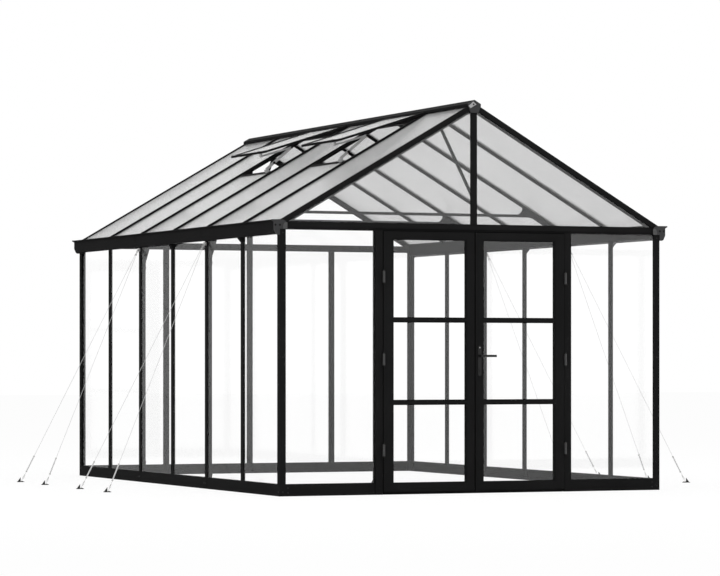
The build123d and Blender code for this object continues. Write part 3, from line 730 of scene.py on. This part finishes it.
class GREENHOUSE_OT_roof_caps(bpy.types.Operator):
    """Lay a raised cap along every roof bar and gable rafter"""
    bl_idname = "greenhouse.roof_caps"
    bl_label = "Roof caps"

    def execute(self, context):
        rise = settings("greenhouse_fittings").cap_rise
        bm = bmesh.new()
        beside_vents = {SIDE_LINES[number - way] for number in VENT_BAYS for way in (0, 1)}
        for side in SIDES:
            for line in SIDE_LINES:
                near_vent = side < 0 and line in beside_vents
                top = CAP_TOP_AT_VENT if near_vent else CAP_TOP
                self.cap(bm, side, line, top, HALF_X + 9 * MM, rise)
            for way in SIDES:
                y = way * (HALF_Y - 14 * MM)
                self.cap(bm, side, y, CAP_TOP, HALF_X - 1 * MM, rise / 2)
        piece("roof_caps", bm, "coat")
        return {"FINISHED"}

    def cap(self, bm, side, y, x0, x1, rise):
        """A chamfered cap down one slope from x0 to x1."""
        up = Vector((side * math.sin(PITCH), 0, math.cos(PITCH)))
        start = Vector((side * x0, y, roof_z(x0)))
        outline = [(-14, 0), (-14, 0.7), (-10, 1), (10, 1), (14, 0.7), (14, 0)]
        points = [start + Vector((0, across * MM, 0)) + up * rise * height
                  for across, height in outline]
        add_prism(bm, points, Vector((side * x1, y, roof_z(x1))) - start)


class GREENHOUSE_OT_fasteners(bpy.types.Operator):
    """Screw the bars, the base rails and the end caps"""
    bl_idname = "greenhouse.fasteners"
    bl_label = "Fasteners"

    def execute(self, context):
        use = settings("greenhouse_fittings")
        radius = use.screw_radius
        screws = bmesh.new()
        plates = bmesh.new()
        half_base = BASE_TOP / 2
        for side in SIDES:
            out = (side, 0, 0)
            up = Vector((side * math.sin(PITCH), 0, math.cos(PITCH)))
            for line in SIDE_LINES:
                for z in (BASE_TOP + 22 * MM, GUTTER_BOTTOM - 48 * MM):
                    add_screw(screws, (side * WALL_FACE, line, z), out, radius)
                for x in (0.22, HALF_X - 0.03):
                    spot = Vector((side * x, line, roof_z(x))) + up * use.cap_rise
                    add_screw(screws, spot, up, radius)
            for line in TRUSS_LINES:
                add_plate(plates, (side * HALF_X, line, half_base), out, 60 * MM, 64 * MM,
                          THIN_PLATE, 4 * MM)
                for way in SIDES:
                    spot = (side * (HALF_X + THIN_PLATE), line + way * 18 * MM, half_base)
                    add_screw(screws, spot, out, radius)
            for way in SIDES:
                y, front = way * HALF_Y, (0, way, 0)
                for z in (24 * MM, 58 * MM):
                    add_screw(screws, (side * (HALF_X - CORNER - 16 * MM), y, z), front, radius)
                for z in (30 * MM, 0.98, BEAM_BOTTOM - 26 * MM):
                    add_screw(screws, (side * (HALF_X - CORNER / 2), y, z), front, radius)
                    add_screw(screws, (side * HALF_X, y - way * CORNER / 2, z), out, radius)
        for line in BACK_LINES:
            for z in (BASE_TOP + 22 * MM, BEAM_BOTTOM - 22 * MM):
                add_screw(screws, (line, HALF_Y - 7 * MM, z), (0, 1, 0), radius)
        piece("frame_screws", screws, "zinc_dark")
        piece("rail_joint_plates", plates, "coat")
        self.cap_sockets()
        self.front_plates()
        return {"FINISHED"}

    def cap_sockets(self):
        """Dark sockets in the gutter caps and in the front end cap of the ridge."""
        bm = bmesh.new()
        for side in SIDES:
            for x in (HALF_X, HALF_X + 34 * MM):
                spot = (side * x, -HALF_Y + 0.3 * MM, EAVE - 27.5 * MM)
                add_turned(bm, spot, TO_FRONT, mm(
                    (5.8, 0), (5.8, 6.4), (7.6, 6.4), (7.6, 7), (4.8, 7), (4.2, 1.5), (0, 1.2)), 14)
        spot = (-8.5 * MM, CAP_FRONT - THIN_PLATE, RIDGE_TOP - 33 * MM)
        add_turned(bm, spot, TO_FRONT, mm((6.4, 0), (6.4, 0.9), (5.0, 0.9), (0, 0.2)), 14)
        piece("cap_sockets", bm, "seal")

    def front_plates(self):
        """The plate on the ridge's front end cap, and the pieces at the ends of the front beam."""
        bm = bmesh.new()
        outline = mm((-47.5, -45), (-33, -61), (13.9, -33.3), (-11.4, -12.7))
        add_prism(bm, [(x, CAP_FRONT, RIDGE_TOP + z) for x, z in outline], (0, -THIN_PLATE, 0))
        piece("ridge_end_plate", bm, "arm")
        bm = bmesh.new()
        outline = mm((1453.5, 45), (1453.5, 3), (1459, 0), (1482, 0), (1487, 4), (1484.5, 26),
                     (1478, 40), (1466, 47))
        for side in SIDES:
            add_prism(bm, [(side * x, CAP_FRONT, BEAM_BOTTOM + z) for x, z in outline],
                      (0, -THIN_PLATE, 0))
            spot = (side * 1.470, CAP_FRONT - THIN_PLATE, BEAM_BOTTOM + 22 * MM)
            add_screw(bm, spot, TO_FRONT, 4 * MM)
        piece("beam_end_pieces", bm, "beam_end")


class GREENHOUSE_OT_trusses(bpy.types.Operator):
    """Plate and bolt the trusses, and bracket the ridge braces"""
    bl_idname = "greenhouse.trusses"
    bl_label = "Truss joints"

    def execute(self, context):
        use = settings("greenhouse_fittings")
        thick = use.plate_thick
        plates = bmesh.new()
        bolts = bmesh.new()
        half_tie = 10.5 * MM
        tie = low("truss_ties").z + half_tie
        inner, outer = 1.090, 1.262
        knee = [(inner, tie - half_tie), (1.180, tie - half_tie), (outer, tie - 34 * MM),
                (outer, roof_z(outer, 24 * MM)), (1.130, roof_z(1.130, 24 * MM)),
                (inner, tie + half_tie)]
        spots = [(1.104, tie), (1.140, tie), (1.160, tie + 22 * MM), (1.235, tie - 20 * MM)]
        for line in TRUSS_LINES:
            for side in SIDES:
                for way in SIDES:
                    y = line + way * 15 * MM
                    add_prism(plates, [(side * x, y, z) for x, z in knee], (0, way * thick, 0))
                    for x, z in spots:
                        add_bolt(bolts, (side * x, y + way * thick, z), (0, way, 0),
                                 use.bolt_radius * 0.8)
                inward = (-side, 0, 0)
                for z, height in ((BASE_TOP + 46 * MM, 84 * MM),
                                  (PLATE_BOTTOM - 150 * MM, 90 * MM)):
                    add_plate(plates, (side * COLUMN_IN, line, z), inward, 36 * MM, height, thick,
                              4 * MM)
                    for rise in (-24 * MM, 24 * MM):
                        spot = (side * (COLUMN_IN - thick), line, z + rise)
                        add_bolt(bolts, spot, inward, use.bolt_radius)
        piece("truss_plates", plates, "coat")
        piece("truss_bolts", bolts, "zinc_dark")
        self.brace_brackets()
        return {"FINISHED"}

    def brace_brackets(self):
        """Brackets at the feet of the ridge braces, and small gussets beside the doorway."""
        bm = bmesh.new()
        thick = 2 * MM
        for way in SIDES:
            y = way * (HALF_Y - 20 * MM)
            add_plate(bm, (0, y, BRACE_FOOT), (0, -way, 0), 40 * MM, 56 * MM, thick, 4 * MM)
            for rise in (-20 * MM, 20 * MM):
                add_bolt(bm, (0, y - way * thick, BRACE_FOOT + rise), (0, -way, 0), 4.5 * MM)
        outline = [(JAMB_OUT, BASE_TOP), (JAMB_OUT + 28 * MM, BASE_TOP),
                   (JAMB_OUT, BASE_TOP + 42 * MM)]
        for side in SIDES:
            add_prism(bm, [(side * x, 14 * MM - HALF_Y, z) for x, z in outline], (0, thick, 0))
        piece("brace_brackets", bm, "zinc_dark")


class GREENHOUSE_OT_gutters(bpy.types.Operator):
    """Sleeve the gutter joints and screw the gutter brackets"""
    bl_idname = "greenhouse.gutters"
    bl_label = "Gutter joints"

    def execute(self, context):
        bm = bmesh.new()
        outer = mm((0.4, 91.5), (27.2, 91.5), (43.6, 60), (43.6, -0.7), (61.2, -0.7))
        inner = mm((0.4, 92.8), (27.9, 92.8), (44.8, 60.4), (44.8, 0.5), (61.2, 0.5))
        path = outer + inner[::-1]
        sleeve = 48 * MM
        for side in SIDES:
            for line in TRUSS_LINES:
                y = line - sleeve / 2
                add_prism(bm, [(side * (HALF_X + x), y, EAVE - z) for x, z in path], (0, sleeve, 0))
            for line in (SIDE_LINES[0], SIDE_LINES[len(SIDE_LINES) // 2]):
                for way in SIDES:
                    spot = (side * (WALL_FACE + 14 * MM), line + way * 20 * MM,
                            GUTTER_BOTTOM - 8 * MM)
                    add_screw(bm, spot, (0, way, 0), 3.2 * MM)
        piece("gutter_sleeves", bm, "coat")
        return {"FINISHED"}


class GREENHOUSE_OT_vents(bpy.types.Operator):
    """Add the knobs, pivots, clips and corner screws of the roof vents"""
    bl_idname = "greenhouse.vents"
    bl_label = "Vent fittings"

    def execute(self, context):
        knobs = bmesh.new()
        trim = bmesh.new()
        angle = PITCH - VENT_OPEN
        down = Vector((-math.cos(angle), 0, -math.sin(angle)))
        up = Vector((-math.sin(angle), 0, math.cos(angle)))
        hinge_z = RIDGE_TOP - VENT_HINGE_X * SLOPE - 7 * MM
        low_edge = VENT_LENGTH - 10 * MM
        for number in VENT_BAYS:
            middle = vent_middle(number)
            arm = middle - ARM_SHIFT
            add_turned(knobs, (-0.616, arm - 6 * MM, 2.500), TO_FRONT, mm(
                (4, 0), (4, 5), (10, 7), (11, 13), (9, 17), (0, 18)), 14)
            apex_z = roof_z(ARM_APEX) + 82 * MM
            for way in SIDES:
                add_turned(knobs, (-ARM_APEX, arm + way * 17 * MM, apex_z), (0, way, 0), mm(
                    (9.5, 0), (9.5, 2), (6, 4), (5, 7), (0, 8)), 12)
            origin = Vector((-VENT_HINGE_X, middle, hinge_z))
            for along in (12 * MM, low_edge):
                for way in SIDES:
                    spot = origin + down * along + Vector((0, way * (VENT_HALF - 10 * MM), 0))
                    add_screw(trim, spot, up, 3.6 * MM)
            for way in SIDES:
                spot = origin + down * low_edge + Vector((0, way * 0.20, 0))
                add_plate(trim, spot, up, 34 * MM, 16 * MM, 2 * MM, 3 * MM, (0, 1, 0))
        piece("vent_knobs", knobs, "seal")
        piece("vent_screws", trim, "zinc_dark")
        return {"FINISHED"}


class GREENHOUSE_OT_doors(bpy.types.Operator):
    """Fit the doors with glazing beads, weather strips, hinge caps and handle screws"""
    bl_idname = "greenhouse.doors"
    bl_label = "Door fittings"

    def execute(self, context):
        for side, word in ((1, "right"), (-1, "left")):
            self.beads(side, word)
            self.leaf_screws(side, word)
        self.jambs()
        self.handle()
        return {"FINISHED"}

    def beads(self, side, word):
        """Glazing beads round the panes of one leaf, on both faces."""
        half = settings("greenhouse_fittings").seal_width / 2
        middle = (DOOR_FRONT + DOOR_BACK) / 2
        edge = 8 * MM
        x0, x1 = low("door_panes_right").x + edge, high("door_panes_right").x - edge
        z0, z1 = DOOR_BOTTOM + 65 * MM, DOOR_TOP - 58 * MM
        tall = (z1 - z0 - (PANES - 1) * DOOR_BAR) / PANES
        bm = bmesh.new()
        for row in range(PANES):
            bottom = z0 + row * (tall + DOOR_BAR)
            top = bottom + tall
            for way in SIDES:
                y, out = middle + way * 1.5 * MM, (0, way, 0)
                for x in (x0 + half, x1 - half):
                    add_seal(bm, (side * x, y, bottom), (side * x, y, top), out)
                for z in (bottom + half, top - half):
                    add_seal(bm, (side * x0, y, z), (side * x1, y, z), out)
        piece("door_beads_" + word, bm, "seal", word + "_door")

    def leaf_screws(self, side, word):
        """Corner screws on the inner face of one leaf."""
        bm = bmesh.new()
        for z in (DOOR_BOTTOM + 30 * MM, DOOR_TOP - 29 * MM):
            for x in (DOOR_EDGE - 20 * MM, DOOR_EDGE - 58 * MM):
                add_screw(bm, (side * x, DOOR_BACK, z), (0, 1, 0), 3.4 * MM)
        piece("door_screws_" + word, bm, "zinc_dark", word + "_door")

    def jambs(self):
        """Weather strips on the jambs, and the caps above and below each hinge."""
        bm = bmesh.new()
        for side in SIDES:
            x = side * (JAMB_IN_EDGE + 6 * MM)
            add_strip(bm, (x, JAMB_STOP, 34 * MM), (x, JAMB_STOP, DOOR_TOP - 14 * MM), TO_FRONT,
                      8 * MM, 3.5 * MM)
            pin = (side * HINGE_X, DOOR_FRONT - 12 * MM)
            for height in HINGE_HEIGHTS:
                add_turned(bm, (*pin, height - KNUCKLE), (0, 0, -1), mm(
                    (9.2, 0), (9.2, 3), (6, 6), (0, 7)), 14)
                add_turned(bm, (*pin, height + KNUCKLE + 4 * MM), (0, 0, 1), mm(
                    (7.5, 0), (7.5, 2), (4, 5), (0, 5.5)), 14)
        piece("jamb_strips", bm, "seal")

    def handle(self):
        """Screws, key barrels and key slots of the handle plates, on both faces."""
        # The handle screws are alike: the upper pair is bright zinc as a painted highlight, and the
        # lower pair is dark coat as painted shade.
        for name, finish, z in (("upper_handle_screw_pair_painted_highlight", "zinc", 1.050),
                                ("lower_handle_screw_pair_painted_shade", "zinc_dark", 0.862)):
            bm = bmesh.new()
            for way, y in door_faces(6 * MM):
                add_screw(bm, (HANDLE_X, y, z), (0, way, 0), 3.2 * MM)
            piece(name, bm, finish, "right_door")
        bm = bmesh.new()
        for way, y in door_faces(9 * MM):
            add_turned(bm, (HANDLE_X, y, KEY_HEIGHT), (0, way, 0), mm(
                (6.2, 0), (6.2, 0.8), (5.2, 1.2), (0, 1.2)), 18)
        piece("key_barrels", bm, "gloss", "right_door")
        bm = bmesh.new()
        for way, y in door_faces(10.2 * MM):
            add_plate(bm, (HANDLE_X, y, KEY_HEIGHT), (0, way, 0), 1.4 * MM, 8 * MM, 0.3 * MM,
                      0.4 * MM)
        piece("key_slots", bm, "seal", "right_door")


class GREENHOUSE_OT_cables(bpy.types.Operator):
    """Finish the guy cables with clamps, eyes and turnbuckle ends, and peg the anchors"""
    bl_idname = "greenhouse.cables"
    bl_label = "Cable fittings"

    def execute(self, context):
        ends = bmesh.new()
        pegs = bmesh.new()
        for side in SIDES:
            for line in TRUSS_LINES:
                for way in SIDES:
                    self.cable(ends, side, line, way)
                    self.anchor(pegs, side, line + way * ANCHOR_SPREAD)
        piece("cable_ends", ends, "zinc")
        piece("anchor_pegs", pegs, "zinc_dark")
        return {"FINISHED"}

    def cable(self, bm, side, line, way):
        """Clamps, turnbuckle ends and eyes of one cable, from its lug to its anchor."""
        start = Vector((side * (WALL_FACE + 17 * MM), line + way * 6 * MM,
                        GUTTER_BOTTOM - 20.5 * MM))
        foot = Vector((side * (HALF_X + 0.869), line + way * ANCHOR_SPREAD, 4 * MM))
        run = (foot - start).normalized()
        for place in (start + run * 34 * MM, foot - run * 62 * MM):
            self.sleeve(bm, place, run, 3.6 * MM, 18 * MM)
        for place in (foot - run * 0.226, foot - run * 0.094):
            self.sleeve(bm, place, run, 6.8 * MM, 10 * MM)
        for place in (start + run * 14 * MM, foot - run * 36 * MM):
            self.eye(bm, place, run, 6 * MM, 20 * MM)

    def anchor(self, bm, side, y):
        """The two peg heads of one ground anchor."""
        for shift in (-13 * MM, 13 * MM):
            add_turned(bm, (side * (HALF_X + 0.862), y + shift, 4 * MM), (0, 0, 1), mm(
                (6, 0), (6, 1.4), (4.4, 3.4), (1.6, 4.4), (0, 4.4)), 12)

    def sleeve(self, bm, start, run, radius, length):
        """A pressed sleeve round the cable, narrowed at both ends."""
        add_turned(bm, start, run, [
            (radius * 0.7, 0), (radius, length * 0.12), (radius, length * 0.88),
            (radius * 0.7, length)], 10)

    def eye(self, bm, middle, run, radius, length):
        """A long eye of wire about its middle, lying along the cable."""
        side = run.cross(Vector((0, 1, 0))).normalized()
        steps = 16
        points = []
        for i in range(steps + 1):
            angle = 2 * math.pi * i / steps
            points.append(middle + run * (length / 2 * math.cos(angle))
                          + side * (radius * math.sin(angle)))
        add_tube(bm, points, 1.2 * MM, 6)


class GREENHOUSE_OT_stage(bpy.types.Operator):
    """Set the floor, the light and the camera"""
    bl_idname = "greenhouse.stage"
    bl_label = "Stage"

    def execute(self, context):
        use = settings("greenhouse_stage")
        self.make_world(use)
        self.make_floor(use)
        self.make_lamps(use)
        self.make_camera(use)
        context.scene.view_settings.view_transform = "Standard"
        return {"FINISHED"}

    def seen(self, recipe, **shares):
        """How white each kind of ray sees the studio, from 0 to 1 or a little more."""
        total = 0.0
        for name, share in shares.items():
            total = recipe.node("ShaderNodeLightPath", {}, {}, f"Is {name} Ray") * share + total
        return total

    def make_world(self, use):
        """An even white sky, a little dimmer as a light than as it is seen."""
        world = bpy.data.worlds.new("studio_world")
        bpy.context.scene.world = world
        recipe = Recipe(world)
        lift = self.seen(recipe, Camera=1.0, Transmission=1.0, Glossy=1.75)
        strength = lift * (1.0 - use.sky) + use.sky
        glow = recipe.node("ShaderNodeBackground", {},
                           {"Color": (1.0, 1.0, 1.0), "Strength": strength})
        recipe.node("ShaderNodeOutputWorld", {}, {"Surface": glow})

    def make_floor(self, use):
        """A wide pale floor, just under the base rails."""
        made, recipe = material("studio_floor")
        matt = recipe.node("ShaderNodeBsdfDiffuse", {}, {"Color": tuple(use.floor)})
        glow = recipe.node("ShaderNodeEmission", {}, {"Color": (1.0, 1.0, 1.0), "Strength": 1.08})
        share = self.seen(recipe, Camera=use.floor_glow, Glossy=1.0)
        shared = recipe.node("ShaderNodeMixShader", {}, {0: share, 1: matt, 2: glow})
        recipe.node("ShaderNodeOutputMaterial", {}, {"Surface": shared})
        reach = 60.0
        mesh = bpy.data.meshes.new("studio_floor")
        corners = [(x * reach, y * reach, 0) for x, y in ((-1, -1), (1, -1), (1, 1), (-1, 1))]
        mesh.from_pydata(corners, [], [(0, 1, 2, 3)])
        floor = bpy.data.objects.new("studio_floor", mesh)
        floor.location.z = -0.5 * MM
        floor.data.materials.append(made)
        bpy.context.scene.collection.objects.link(floor)

    def make_lamps(self, use):
        """One large soft lamp overhead, turned to the middle of the building."""
        lamp = bpy.data.lights.new("overhead_lamp", "AREA")
        lamp.shape = "RECTANGLE"
        lamp.size = lamp.size_y = 9.0
        lamp.energy = use.key
        holder = bpy.data.objects.new("overhead_lamp", lamp)
        holder.location = (-0.5, -1.5, 9.0)
        aim = Vector((0, 0, 1.2))
        holder.rotation_euler = (holder.location - aim).to_track_quat("Z", "Y").to_euler()
        holder.visible_camera = False
        bpy.context.scene.collection.objects.link(holder)

    def make_camera(self, use):
        """A level camera with a long lens, raised by its shift."""
        lens = bpy.data.cameras.new("camera")
        lens.sensor_width = SENSOR
        lens.lens = use.lens
        lens.shift_y = use.shift
        lens.clip_end = 200.0
        holder = bpy.data.objects.new("camera", lens)
        holder.location = CAMERA_PLACE
        holder.rotation_euler = (math.radians(90), 0, -math.radians(CAMERA_HEADING))
        bpy.context.scene.collection.objects.link(holder)
        bpy.context.scene.camera = holder


GROUPS = {
    "greenhouse_finish": FinishSettings,
    "greenhouse_fittings": FittingSettings,
    "greenhouse_stage": StageSettings,
}
OPERATORS = (
    GREENHOUSE_OT_finishes,
    GREENHOUSE_OT_wall_seals,
    GREENHOUSE_OT_roof_caps,
    GREENHOUSE_OT_fasteners,
    GREENHOUSE_OT_trusses,
    GREENHOUSE_OT_gutters,
    GREENHOUSE_OT_vents,
    GREENHOUSE_OT_doors,
    GREENHOUSE_OT_cables,
    GREENHOUSE_OT_stage,
)


class GREENHOUSE_PT_panel(bpy.types.Panel):
    """Sizes, colours and pieces of the greenhouse"""
    bl_idname = "GREENHOUSE_PT_panel"
    bl_label = "Greenhouse"
    bl_space_type = "VIEW_3D"
    bl_region_type = "UI"
    bl_category = "Greenhouse"

    def draw(self, context):
        for operator in OPERATORS:
            self.layout.operator(operator.bl_idname)
        for name, group in GROUPS.items():
            box = self.layout.box()
            for key in group.__annotations__:
                box.prop(settings(name), key)


def register():
    for group in GROUPS.values():
        bpy.utils.register_class(group)
    for name, group in GROUPS.items():
        setattr(bpy.types.Scene, name, bpy.props.PointerProperty(type=group))
    for operator in OPERATORS:
        bpy.utils.register_class(operator)
    bpy.utils.register_class(GREENHOUSE_PT_panel)


def unregister():
    bpy.utils.unregister_class(GREENHOUSE_PT_panel)
    for operator in reversed(OPERATORS):
        bpy.utils.unregister_class(operator)
    for name in GROUPS:
        delattr(bpy.types.Scene, name)
    for group in GROUPS.values():
        bpy.utils.unregister_class(group)


def main():
    register()
    for operator in OPERATORS:
        family, name = operator.bl_idname.split(".")
        getattr(getattr(bpy.ops, family), name)()


if __name__ == "__main__":
    main()
